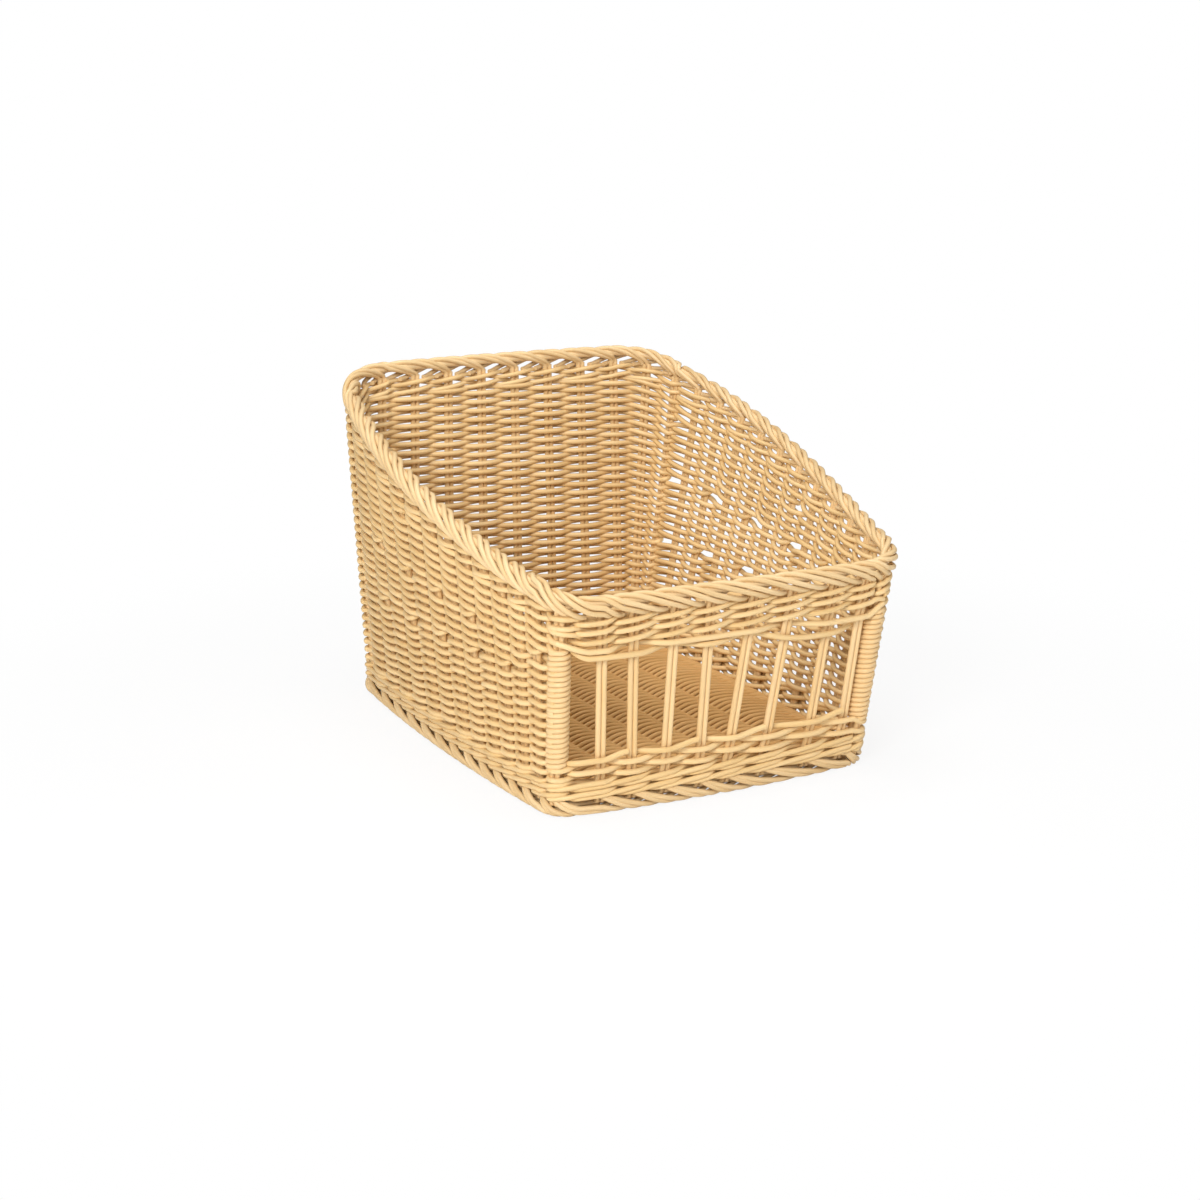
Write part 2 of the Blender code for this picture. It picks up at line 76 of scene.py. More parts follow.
# Heights above the ground, and drops below the rim line, where woven stretches meet
ABOVE_FOOT = 0.0083
ABOVE_WALE = 0.0201
UNDER_BORDER = 0.0058
UNDER_WALE = 0.0176

# Uprights: stations run round the outline, a side and its corner taking one each
LAP = 8
RIGHT_POST = 1.30
LEFT_POST = 7.38
FIRST_STAKE = 1.99
FIRST_BACK_STAKE = 3.08
FIRST_LEFT_STAKE = 5.955
LAST_STAKE = 6.981
RIGHT_STEPS = 11
BACK_STEPS = 11
LEFT_STEPS = 12
LEFT_CROWD_SHARE = 0.28
BAR_FOOT_SHARES = (0.077, 0.185, 0.297, 0.422, 0.516, 0.652, 0.828, 0.970)
BAR_CROWN_SHARES = (-0.145, 0.065, 0.242, 0.373, 0.585, 0.742, 0.895, 1.030)
STAKES = RIGHT_STEPS + BACK_STEPS + LEFT_STEPS + 1
LEFT_POST_NUMBER = STAKES + 1
BARS = len(BAR_FOOT_SHARES)
UPRIGHTS = LEFT_POST_NUMBER + 1 + BARS
BACK_CORNERS = (3.5, 5.5)

# Rows of plain weave: short pairs of rows turn back at notches, which makes the rim slope.
# A line of notches has its lowest row, and its stakes on the right and on the left. A pair
# thins out over the fade, in spacings, past its notches.
ROWS = 60
NOTCH_LINES = (
    (22, (12, 10, 8, 6, 4, 2), (23, 25, 27, 29, 31, 33)),
    (38, (12, 10, 8, 6, 4, 2), (25, 27, 29, 31, 34, 35)),
    (53, (12, 6), (23, 27)),
)
NOTCH_FADE = 1.15

# The lowest row is hidden behind the foot wale
FIRST_ROW = 1

# Rows under the window: how much wider apart they lie than on the sides at the left, how
# much that grows to the right, and how many spacings past its bar a cut end stops
LOWER_BAND_ROWS = 5
LOWER_BAND_CLIMB = 0.13
LOWER_BAND_LEAN = 0.25
END_REACH = 0.82

# Rows over the window, from the lowest: their drops below the rim line left and right of
# where the band widens, and the bars that they pass inside. A pair of twined strands
# closes the band above them.
UPPER_BAND = (
    (0.0330, 0.0385, (3, 5, 8)),
    (0.0287, 0.0312, (2, 6)),
)
TWINED_DROP = 0.0232
WIDENING_BARS = (5.0, 6.6)

# How a twined strand climbs outside the uprights and falls inside them: spacings from an
# upright that it passes inside, and shares of its lift
WALE_ROWS = 2
WALE_RODS = 3
WALE_SLANT = ((0.0, 0.0), (0.5, -1.55), (1.0, -1.0), (2.0, 1.0), (2.5, 1.55), (3.0, 0.0))
PAIRING_SLANT = ((0.0, 0.0), (0.5, -1.0), (1.0, 0.0), (1.5, 1.0), (2.0, 0.0))

# Routes of a bent-over rod: spacings along the border, and places out of and up from the
# middle of the rim border, or out of the wall and up from the ground
RIM_ROUTE = (
    (0.00, 0.0000, -0.0070), (0.05, -0.0004, -0.0050), (0.18, -0.0018, -0.0030),
    (0.38, -0.0031, -0.0010), (0.60, -0.0034, 0.0011), (0.82, -0.0024, 0.0030),
    (1.02, -0.0004, 0.0037), (1.22, 0.0018, 0.0032), (1.44, 0.0034, 0.0016),
    (1.68, 0.0042, -0.0006), (1.92, 0.0043, -0.0029), (2.14, 0.0038, -0.0050),
    (2.32, 0.0024, -0.0066), (2.46, 0.0004, -0.0075), (2.58, -0.0014, -0.0078))
FOOT_ROUTE = (
    (0.00, 0.0002, 0.0140), (0.05, 0.0012, 0.0122), (0.18, 0.0026, 0.0103),
    (0.40, 0.0040, 0.0082), (0.65, 0.0047, 0.0061), (0.92, 0.0046, 0.0040),
    (1.18, 0.0037, 0.0024), (1.44, 0.0019, 0.0017), (1.72, -0.0006, 0.0017),
    (2.02, -0.0030, 0.0024), (2.26, -0.0040, 0.0042))

# Place of the strand inside the foot border: out of the wall, and up from the ground
FOOT_CORE = (-0.0022, 0.0066)

# Wrapping of the posts: turns that its ends run on, turns over which they tuck in, and the
# share of their distance from the post's middle that they keep
END_TURNS = 0.5
TUCK_TURNS = 0.4
TUCKED_SHARE = 0.45

# Floor: its middle lies this far above the foot border and its edge this far inside the
# wall, and no stick lies nearer to the wall than the clearance
FLOOR_RISE = 0.0035
FLOOR_INSET = 0.0035
FLOOR_STICKS = 8
STICK_CLEARANCE = 0.006

# How far the rods reach into the foot border, and how far the point beyond the end of a
# straight strand's path lies from that end
ROD_TUCK = 0.001

# Steps along the strands and sides round them
TABLE_STEPS = 24
LENGTH_STEPS = 400
RIM_ROUNDS = 12
ROUTE_STEPS = 4
WEAVE_STEPS = 9
END_STEPS = 18
CORE_STEPS = 4
FLOOR_STEPS = 6
WRAP_STEPS = 24
TURN_POINTS = 9
ROD_POINTS = 6
STRAND_SIDES = 8
BORDER_SIDES = 10
ROD_SIDES = 12
SHARP_ANGLE = math.radians(50)

# Directions in which a tube's sides start, never along the tube
UPWARD = (0.0, 0.0, 1.0)
BACKWARD = (0.0, 1.0, 0.0)
BORDER_SIDEWAYS = (1.0, 0.3, 0.1)

# Seeds of the random draws; like pieces count on from them
WALL_SEED = 0
BAND_SEED = 10
WALE_SEED = 20
BORDER_SEED = 30
FLOOR_SEED = 40
PAIR_SEED = 100
POST_SEED = 200
WRAP_SEED = 300

# Finishes of the kinds of strand: group of colours, roughness and sheen
FINISHES = {
    "woven_strand": ("weave", 0.40, 0.32),
    "upright_strand": ("rod", 0.36, 0.32),
    "wrapping_strand": ("rod", 0.36, 0.32),
    "border_strand": ("border", 0.36, 0.32),
    # The floor's group of colours is darkened with painted shade of the basket's inside
    "floor_strand": ("floor", 0.50, 0.12),
}

# Streaks of the strands: scale of the pattern along and round a strand, and its detail
BROAD_STREAKS = (40.0, 160.0, 2.0)
FINE_STREAKS = (110.0, 2600.0, 1.0)
TONE_SPREAD = 9.0
PATTERN_LENGTH = 50.0

# How much a strand's tone, its broad and its fine streaks deepen its colour from the pale
# end, which lies below zero, and what the streaks do to its roughness and its surface
DEEPENING = (0.55, 0.75, 0.25)
PALE_END = 0.28
ROUGHNESS_SPREAD = 0.12
BROAD_BUMP_SHARE = 0.6
BUMP_STRENGTH = 0.25
BUMP_HEIGHT = 0.00008

# Lamps: name, place, size and power
LAMPS = (
    ("top_lamp", (-0.2, -0.1, 1.6), 0.9, 13.0),
    ("left_lamp", (-1.3, -1.3, 1.1), 0.7, 31.5),
    ("right_lamp", (1.5, -1.2, 0.8), 1.1, 8.5),
)
LAMP_TARGET = (0.0, 0.0, 0.1)
WORLD_STRENGTH = 0.22
WHITE = (1.0, 1.0, 1.0, 1.0)
SENSOR_WIDTH = 36.0

# Finish of the ground
GRAIN_SCALE = 120.0
GRAIN_DETAIL = 2.0
GROUND_ROUGHNESS = 0.5
GROUND_ROUGHNESS_SPREAD = 0.1
GROUND_SHEEN = 0.2

# The ground shows its shadow near the basket and white farther off: distances from the
# middle, shares of white there, and shares of the basket's half width under it
GLOW_DISTANCES = (0.25, 0.6)
GLOW_SHARES = (0.88, 1.0)
BARE_SHARES = (0.92, 1.0)


def length(name, description, default):
    """A size or a place in metres."""
    return FloatProperty(
        name=name, description=description, default=default, unit="LENGTH", precision=5)


def colour(name, description, default):
    """A colour."""
    return FloatVectorProperty(
        name=name, description=description, default=default, subtype="COLOR")


def angle(name, description, degrees):
    """An angle, given in degrees."""
    return FloatProperty(
        name=name, description=description, default=math.radians(degrees), subtype="ANGLE")


class BasketSizes(bpy.types.PropertyGroup):
    """Sizes of the strands and how they are laid"""

    strand: length("Strand", "Thickness of the strands of borders, wrappings and floor", 0.0033)
    rod: length("Rod", "Thickness of the rods of stakes, bars and posts", 0.0034)
    weaver: length("Weaver", "Thickness of the strands woven into the walls", 0.0037)
    pair_spread: length("Pair spread", "Distance between the two rods of a pair", 0.0034)
    post_reach: length(
        "Post reach", "Distance out of the wall of a strand passing a post", 0.0049)
    foot_wale: length(
        "Foot wale", "Height of the foot wale's lower row above the ground", 0.0139)
    foot_pitch: length("Foot wale pitch", "Distance between the rows of the foot wale", 0.0063)
    foot_lift: length(
        "Foot wale lift", "How far its strands lie below and above their row", 0.0015)
    foot_step: length(
        "Foot wale step", "How much farther out a strand passes its second upright", 0.0007)
    rim_wale: length("Rim wale", "Drop of the rim wale's upper row below the rim line", 0.0105)
    rim_pitch: length("Rim wale pitch", "Distance between the rows of the rim wale", 0.0058)
    rim_lift: length(
        "Rim wale lift", "How far its strands lie below and above their row", 0.0019)
    front_drop: length(
        "Front drop", "How much lower the rim wale's rows lie at the bars", 0.0006)
    band_sag: length(
        "Band sag", "How far the strands over the window sag where they pass a bar", 0.0006)
    end_rise: length("End rise", "Rise of the cut ends under the window", 0.0035)
    rim_core: length(
        "Rim core", "Thickness of the core that the rim border is rolled round", 0.0048)
    border_lead: FloatProperty(
        name="Border lead", description="Lead of one rod of a pair in the borders, in spacings",
        default=0.40)
    wrap_side_reach: length(
        "Wrap side reach", "Distance of the wrapping strand from its post's middle", 0.0051)
    wrap_corner_reach: length(
        "Wrap corner reach", "That distance where the strand rounds a rod", 0.0056)
    wrap_foot: length("Wrap foot", "Height at which the wrapping starts", 0.0345)
    wrap_head: length("Wrap head", "Height at which the wrapping ends", 0.1085)
    wrap_turns: IntProperty(
        name="Wrap turns", description="Loops of the strand round each post", default=22)
    stick_spacing: length(
        "Stick spacing", "Distance between the pairs of sticks in the floor", 0.0244)
    first_stick: length(
        "First stick", "Place of the leftmost pair of sticks in the floor", -0.0920)


class BasketColours(bpy.types.PropertyGroup):
    """Colours of the strands, each from its palest to its deepest; the floor's are darkened with
    painted shade
    """

    weave_pale: colour(
        "Weave, pale", "Palest colour of the weaving strand", (0.87, 0.635, 0.33))
    weave_deep: colour(
        "Weave, deep", "Deepest colour of the weaving strand", (0.73, 0.49, 0.21))
    rod_pale: colour("Rods, pale", "Palest colour of the stakes and bars", (0.87, 0.63, 0.34))
    rod_deep: colour("Rods, deep", "Deepest colour of the stakes and bars", (0.76, 0.51, 0.23))
    border_pale: colour(
        "Borders, pale", "Palest colour of the borders' strands", (0.83, 0.615, 0.345))
    border_deep: colour(
        "Borders, deep", "Deepest colour of the borders' strands", (0.69, 0.47, 0.22))
    # Painted shade: the floor's colours are darker and browner than the other strands' to stand
    # for the shade inside the basket; the floor is of the same plastic
    floor_pale: colour(
        "Floor, pale", "Palest colour of the floor's strands", (0.69, 0.43, 0.18))
    floor_deep: colour(
        "Floor, deep", "Deepest colour of the floor's strands", (0.59, 0.35, 0.13))
    ground: colour(
        "Ground", "Colour of the ground that the basket stands on", (0.92, 0.92, 0.92))


class StageSizes(bpy.types.PropertyGroup):
    """Camera and ground"""

    distance: length(
        "Camera distance", "Distance of the camera from the basket's middle", 1.451)
    azimuth: angle("Camera azimuth", "Turn of the camera round the basket", -27.77)
    elevation: angle("Camera elevation", "Angle of the camera above the ground", 18.0)
    tilt: angle("Camera tilt", "How far the camera looks above the basket's middle", 3.35)
    lens: FloatProperty(name="Lens", description="Focal length in millimetres", default=63.0)
    ground_size: length("Ground size", "Width of the ground", 12.0)


def unit(vectors):
    """Vectors of the same direction and length one."""
    return vectors / np.linalg.norm(vectors, axis=-1, keepdims=True)


def smooth(share):
    """Zero to one with level ends."""
    share = np.clip(share, 0, 1)
    return share * share * (3 - 2 * share)


class Outline:
    """One closed outline: four bowed sides and four rounded corners, counterclockwise."""

    def __init__(self, front_half, back_half, front_reach, back_reach, bows, trims):
        self.corners = np.array((
            (-front_half, -front_reach), (front_half, -front_reach),
            (back_half, back_reach), (-back_half, back_reach)))
        self.bows = np.array(bows)
        self.trims = np.array(trims)

    def along(self, side, share):
        """Share of the whole chord for a share of the side between its rounded corners."""
        chord = np.linalg.norm(self.corners[(side + 1) % 4] - self.corners[side], axis=-1)
        start = self.trims[side] / chord
        end = 1 - self.trims[(side + 1) % 4] / chord
        return start + (end - start) * share

    def side(self, side, share):
        """Places and directions on the bowed sides."""
        first = self.corners[side]
        run = self.corners[(side + 1) % 4] - first
        out = unit(np.stack((run[..., 1], -run[..., 0]), -1))
        along = self.along(side, share)[..., None]
        bow = self.bows[side][..., None]
        place = first + run * along + out * (4 * bow * along * (1 - along))
        return place, unit(run + out * (4 * bow * (1 - 2 * along)))

    def corner(self, side, share):
        """Places and directions on the rounded corners that follow the sides."""
        first, leave = self.side(side, np.ones(len(share)))
        last, arrive = self.side((side + 1) % 4, np.zeros(len(share)))
        turn = leave[:, 0] * arrive[:, 1] - leave[:, 1] * arrive[:, 0]
        gap = last - first
        reach = (gap[:, 0] * arrive[:, 1] - gap[:, 1] * arrive[:, 0]) / turn
        middle = first + leave * reach[:, None]
        share = share[:, None]
        place = first * (1 - share) ** 2 + middle * (2 * share * (1 - share)) + last * share ** 2
        return place, unit((middle - first) * (1 - share) + (last - middle) * share)

    def at(self, station):
        """Places and directions at stations."""
        side, share = side_and_share(station)
        on_side = self.side(side, np.minimum(share, 1))
        on_corner = self.corner(side, np.maximum(share - 1, 0))
        chosen = (share <= 1)[:, None]
        return tuple(np.where(chosen, a, b) for a, b in zip(on_side, on_corner))


def side_and_share(station):
    """A side runs from an even station to the next odd one, its corner from there on."""
    station = np.mod(station, LAP)
    side = np.minimum(station // 2, 3).astype(int)
    return side, station - 2 * side


GROUND = Outline(
    BASE_HALF_WIDTH, BASE_HALF_WIDTH, BASE_HALF_DEPTH, BASE_HALF_DEPTH, BASE_BOWS,
    (BASE_CORNER, BASE_CORNER, BASE_CORNER, BASE_CORNER))
CROWN = Outline(
    TOP_FRONT_HALF_WIDTH, TOP_BACK_HALF_WIDTH, TOP_FRONT_REACH, TOP_BACK_REACH, TOP_BOWS,
    (TOP_FRONT_CORNER, TOP_FRONT_CORNER, TOP_BACK_CORNER, TOP_BACK_CORNER))


def stake_stations():
    """Stations of the wall stakes, evenly spaced in runs along the crown outline."""
    places = np.linspace(RIGHT_POST, LEFT_POST, LENGTH_STEPS + 1)
    steps = np.linalg.norm(np.diff(CROWN.at(places)[0], axis=0), axis=1)
    lengths = np.concatenate(((0,), np.cumsum(steps)))
    found = []
    for start, end, count, crowd in (
            (FIRST_STAKE, FIRST_BACK_STAKE, RIGHT_STEPS, 0),
            (FIRST_BACK_STAKE, FIRST_LEFT_STAKE, BACK_STEPS, 0),
            (FIRST_LEFT_STAKE, LAST_STAKE, LEFT_STEPS, LEFT_CROWD_SHARE)):
        share = np.arange(count) / count
        share = share + crowd * share * (1 - share)
        first, last = np.interp((start, end), places, lengths)
        found.extend(np.interp(first + (last - first) * share, lengths, places))
    return found + [LAST_STAKE]


def upright_stations(bar_shares):
    """Stations of all the uprights, the right post at both ends."""
    bars = [LAP + share for share in bar_shares]
    return np.array(
        [RIGHT_POST] + stake_stations() + [LEFT_POST] + bars + [LAP + RIGHT_POST])


FOOT_STATIONS = upright_stations(BAR_FOOT_SHARES)
CROWN_STATIONS = upright_stations(BAR_CROWN_SHARES)


def stations(number):
    """Stations at the ground and at the crown for upright numbers."""
    laps = np.floor(number / UPRIGHTS)
    rest = number - laps * UPRIGHTS
    numbers = np.arange(UPRIGHTS + 1)
    return [np.interp(rest, numbers, row) + LAP * laps for row in (FOOT_STATIONS, CROWN_STATIONS)]


def side_height(side, share):
    """Height of the rim line on the sides, between their rounded corners."""
    along = CROWN.along(side, share)
    fall = np.where(side == 1, 1 - along, along) / SLOPE_END_SHARE
    eased = SLOPE_SOFT_SHARE * (
        np.log1p(np.exp(fall / SLOPE_SOFT_SHARE))
        - np.log1p(np.exp((fall - 1) / SLOPE_SOFT_SHARE)))
    sloped = BACK_HEIGHT - (BACK_HEIGHT - FRONT_HEIGHT) * eased
    return np.where(side == 0, FRONT_HEIGHT, np.where(side == 2, BACK_HEIGHT, sloped))


def station_rim(station):
    """Height of the rim line at a station of the outline."""
    side, share = side_and_share(station)
    level = np.where((side == 0) | (side == 3), FRONT_HEIGHT, BACK_HEIGHT)
    start = side_height(side, np.ones(len(share)))
    end = side_height((side + 1) % 4, np.zeros(len(share)))
    turn = np.maximum(share - 1, 0)
    on_corner = start * (1 - turn) ** 2 + level * (2 * turn * (1 - turn)) + end * turn ** 2
    return np.where(share <= 1, side_height(side, np.minimum(share, 1)), on_corner)


def flat_place(number, height, out):
    """Places on the wall seen from above, and the direction along it."""
    ends = []
    ways = []
    for outline, station in zip((GROUND, CROWN), stations(number)):
        place, direction = outline.at(station)
        outward = np.stack((direction[:, 1], -direction[:, 0]), -1)
        ends.append(place + outward * out[:, None])
        ways.append(direction)
    share = (height / BACK_HEIGHT)[:, None]
    return ends[0] + (ends[1] - ends[0]) * share, unit(ways[0] + (ways[1] - ways[0]) * share)


class RimTable:
    """Rim line and the rows of weave under it, read at any upright number."""

    def __init__(self):
        self.numbers = np.linspace(0, UPRIGHTS, UPRIGHTS * TABLE_STEPS + 1)
        foot, crown = stations(self.numbers)
        heights = np.full(len(self.numbers), FRONT_HEIGHT)
        for _ in range(RIM_ROUNDS):
            heights = station_rim(foot + (crown - foot) * heights / BACK_HEIGHT)
        flat, _ = flat_place(self.numbers, heights, np.zeros(len(heights)))
        run = np.linalg.norm(flat[2:] - flat[:-2], axis=1)
        slope = np.concatenate(((0,), (heights[2:] - heights[:-2]) / run, (0,)))
        slope[0] = slope[-1] = (slope[1] + slope[-2]) / 2
        self.heights = heights
        self.stretch = np.hypot(1, slope)
        self.shift = -(flat[:, 1].min() + flat[:, 1].max()) / 2
        self.rows = self.stack_rows()

    def rim(self, number):
        """Height of the rim line."""
        return np.interp(np.mod(number, UPRIGHTS), self.numbers, self.heights)

    def under(self, number, drop):
        """Height at a drop below the rim line, measured square to its slope."""
        place = np.mod(number, UPRIGHTS)
        return self.rim(number) - drop * np.interp(place, self.numbers, self.stretch)

    def stack_rows(self):
        """Heights of the rows: a short pair thins out to nothing past its notches."""
        weights = np.ones((ROWS, len(self.numbers)))
        for row, right, left in short_pairs():
            weights[row:row + 2] = (
                smooth(self.numbers - right + NOTCH_FADE)
                * smooth(left + NOTCH_FADE - self.numbers))
        total = weights.sum(axis=0)
        low = np.full(len(self.numbers), ABOVE_WALE)
        high = self.under(self.numbers, UNDER_WALE)
        return low + (high - low) * (np.cumsum(weights, axis=0) - weights / 2) / total

    def row(self, row, number):
        """Height of a row of weave at upright numbers."""
        return np.interp(number, self.numbers, self.rows[row])


def short_pairs():
    """Lower row of each short pair, and the stakes that it turns back at, right and left."""
    return [
        (row + 2 * step, right, left)
        for row, rights, lefts in NOTCH_LINES
        for step, (right, left) in enumerate(zip(rights, lefts))]


def full_rows():
    """Rows of weave that run the whole way from post to post."""
    short = {row + step for row, _, _ in short_pairs() for step in (0, 1)}
    return [row for row in range(ROWS) if row not in short]


RIM = RimTable()


def wall_place(number, height, out=0.0, slide=0.0):
    """Places on the wall, pushed out of it or along it."""
    number, height, out, slide = (
        np.atleast_1d(value).astype(float)
        for value in np.broadcast_arrays(number, height, out, slide))
    flat, way = flat_place(number, height, out)
    flat = flat + way * slide[:, None]
    return np.column_stack((flat[:, 0], flat[:, 1] + RIM.shift, height))


def joint_near(station):
    """Middle of the space between two stakes that lies nearest to a station."""
    numbers = np.arange(STAKES) + 0.5
    return float(numbers[np.argmin(np.abs(stations(numbers)[0] - station))])


def between_posts(numbers):
    """Zero at the window posts and one between them."""
    return smooth(numbers - LEFT_POST_NUMBER) * smooth(UPRIGHTS - numbers)


def upright_reach(sizes):
    """Distance out of the wall at which a strand passes each upright."""
    reach = np.full(UPRIGHTS, (sizes.rod + sizes.weaver) / 2)
    reach[[0, LEFT_POST_NUMBER]] = sizes.post_reach
    return reach


def in_and_out(row, count=UPRIGHTS):
    """Plain weave: one outside an upright, minus one inside the next."""
    return np.where((row + np.arange(count)) % 2 == 1, 1, -1)


def smooth_bend(share, rest=0.06):
    """Half a wave from one upright to the next, straight where it lies on the rods."""
    share = np.clip((share - rest) / (1 - 2 * rest), 0, 1)
    return (1 - np.cos(np.pi * share)) / 2


def weave_out(number, offsets):
    """Distance out of the wall of a strand that passes each upright at its offset."""
    lower = np.floor(number).astype(int)
    share = smooth_bend(number - lower)
    lower = np.mod(lower, len(offsets))
    upper = np.mod(lower + 1, len(offsets))
    return offsets[lower] + (offsets[upper] - offsets[lower]) * share


def steps_between(start, end, steps=WEAVE_STEPS):
    """Upright numbers from one to another, either way round, with one beyond each end."""
    count = max(2, round(abs(end - start) * steps))
    return start + (end - start) * np.arange(-1, count + 2) / count


def woven_path(start, end, height, offsets):
    """A strand along the wall that passes each upright at its offset."""
    numbers = steps_between(start, end)
    return wall_place(numbers, height(numbers), weave_out(numbers, offsets))


def row_path(row, start, end, offsets):
    """A row of plain weave."""
    return woven_path(start, end, lambda numbers: RIM.row(row, numbers), offsets)


def twined_path(start, end, lead, height, slant, lift, offsets):
    """A twined strand: it climbs outside the uprights and falls inside them."""
    spacings, shares = np.array(slant).T

    def slanted(numbers):
        rise = lift * np.interp(numbers - lead, spacings, shares, period=spacings[-1])
        return height(numbers) + rise
    return woven_path(start, end, slanted, offsets)


def follow(route, steps):
    """A smooth line through a route's points, with a point beyond either end."""
    points = np.array(route)
    ends = np.concatenate((2 * points[:1] - points[1:2], points, 2 * points[-1:] - points[-2:-1]))
    share = (np.arange(steps) / steps)[:, None]
    line = [ends[:1]]
    for first, start, end, last in zip(ends, ends[1:], ends[2:], ends[3:]):
        line.append(
            start + share * (end - first) / 2
            + share ** 2 * (first - 2.5 * start + 2 * end - last / 2)
            + share ** 3 * (1.5 * (start - end) + (last - first) / 2))
    return np.concatenate(line + [points[-1:], ends[-1:]])


class Strands:
    """Tubes gathered into one mesh, each with its own tone and its own lengthwise pattern."""

    def __init__(self, seed):
        self.random = np.random.default_rng(seed)
        self.points = []
        self.faces = []
        self.uvs = []
        self.tones = []
        self.count = 0

    def lay(self, path, thickness, sides, aside=UPWARD):
        """Add one tube. The path's first and last points only give its ends their direction."""
        tangents = unit(path[2:] - path[:-2])
        core = path[1:-1]
        normals = np.empty_like(core)
        normal = np.array(aside)
        for index, tangent in enumerate(tangents):
            normal = normal - tangent * normal.dot(tangent)
            normal = normal / np.linalg.norm(normal)
            normals[index] = normal
        across = np.cross(tangents, normals)
        angles = (2 * np.pi * np.arange(sides) / sides)[:, None]
        ring = normals[:, None] * np.cos(angles) + across[:, None] * np.sin(angles)
        steps = np.linalg.norm(np.diff(core, axis=0), axis=1)
        lengths = np.concatenate(((0,), np.cumsum(steps)))
        lengths = lengths + self.random.uniform(0, PATTERN_LENGTH)
        self.add_rings(core[:, None] + ring * (thickness / 2), lengths, thickness)

    def add_rings(self, rings, lengths, thickness):
        """Join the rings of points with faces and close both ends."""
        count, sides = rings.shape[:2]
        index = self.count + np.arange(count * sides).reshape(count, sides)
        ahead = np.roll(index, -1, axis=1)
        quads = np.stack((index[:-1], ahead[:-1], ahead[1:], index[1:]), -1).reshape(-1, 4)
        turn = np.arange(sides + 1) / sides * np.pi * thickness
        corners = [
            np.stack(np.meshgrid(along, around, indexing="ij"), -1)
            for along, around in (
                (lengths[:-1], turn[:-1]), (lengths[:-1], turn[1:]),
                (lengths[1:], turn[1:]), (lengths[1:], turn[:-1]))]
        self.uvs.append(np.stack(corners, 2).reshape(-1, 2))
        self.faces.extend(quads.tolist())
        for cap, place in ((index[0][::-1], lengths[0]), (index[-1], lengths[-1])):
            self.faces.append(cap.tolist())
            self.uvs.append(np.column_stack((np.full(sides, place), turn[:-1])))
        self.points.append(rings.reshape(-1, 3))
        self.tones.append(np.full(count * sides, self.random.uniform()))
        self.count += count * sides

    def piece(self, name, kind, node):
        """Make the gathered tubes one smooth piece in place of its node."""
        mesh = bpy.data.meshes.new(name)
        mesh.from_pydata(np.concatenate(self.points).tolist(), [], self.faces)
        layer = mesh.uv_layers.new(name="strand")
        layer.uv.foreach_set("vector", np.concatenate(self.uvs).astype(np.float32).ravel())
        tone = mesh.attributes.new("tone", "FLOAT", "POINT")
        tone.data.foreach_set("value", np.concatenate(self.tones).astype(np.float32))
        mesh.shade_smooth()
        mesh.set_sharp_from_angle(angle=SHARP_ANGLE)
        mesh.materials.append(finish(kind))
        piece = bpy.data.objects.new(name, mesh)
        bpy.context.collection.objects.link(piece)
        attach(piece, "root")
        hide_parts(node)


class Value:
    """A shader socket that takes part in plain arithmetic."""

    def __init__(self, shader, socket):
        self.shader = shader
        self.socket = socket

    def output(self, key):
        """Another output of the same node."""
        return Value(self.shader, self.socket.node.outputs[key])

    def maths(self, operation, *values):
        """A sum, product or other result of values."""
        return self.shader.node(
            "ShaderNodeMath", {"operation": operation}, dict(enumerate(values)))

    def __abs__(self):
        return self.maths("ABSOLUTE", self)

    def __add__(self, other):
        return self.maths("ADD", self, other)

    __radd__ = __add__

    def __sub__(self, other):
        return self.maths("SUBTRACT", self, other)

    def __rsub__(self, other):
        return self.maths("SUBTRACT", other, self)

    def __mul__(self, other):
        return self.maths("MULTIPLY", self, other)

    __rmul__ = __mul__

    def __truediv__(self, other):
        return self.maths("DIVIDE", self, other)


class Shader:
    """The nodes of a material or a world, added one expression at a time."""

    def __init__(self, owner):
        owner.use_nodes = True
        self.tree = owner.node_tree

    def node(self, kind, settings, values):
        """Add a node: its settings first, then values or links for its inputs."""
        added = self.tree.nodes.new(kind)
        for name, value in settings.items():
            setattr(added, name, value)
        for key, value in values.items():
            self.feed(added, key, value)
        return Value(self, added.outputs[0])

    def feed(self, node, key, value):
        """Give an input of a node, or of a node of that name, its value or link."""
        owner = self.tree.nodes[node] if isinstance(node, str) else node
        if isinstance(value, Value):
            self.tree.links.new(value.socket, owner.inputs[key])
        else:
            owner.inputs[key].default_value = value

    def seen(self):
        """One where the camera sees the surface itself."""
        return self.node("ShaderNodeLightPath", {}, {}).output("Is Camera Ray")

    def fade(self, value, start, end, low=0.0, high=1.0):
        """From low to high with level ends while the value goes from start to end."""
        return self.node("ShaderNodeMapRange", {"interpolation_type": "SMOOTHSTEP"}, {
            "Value": value, "From Min": start, "From Max": end, "To Min": low, "To Max": high})


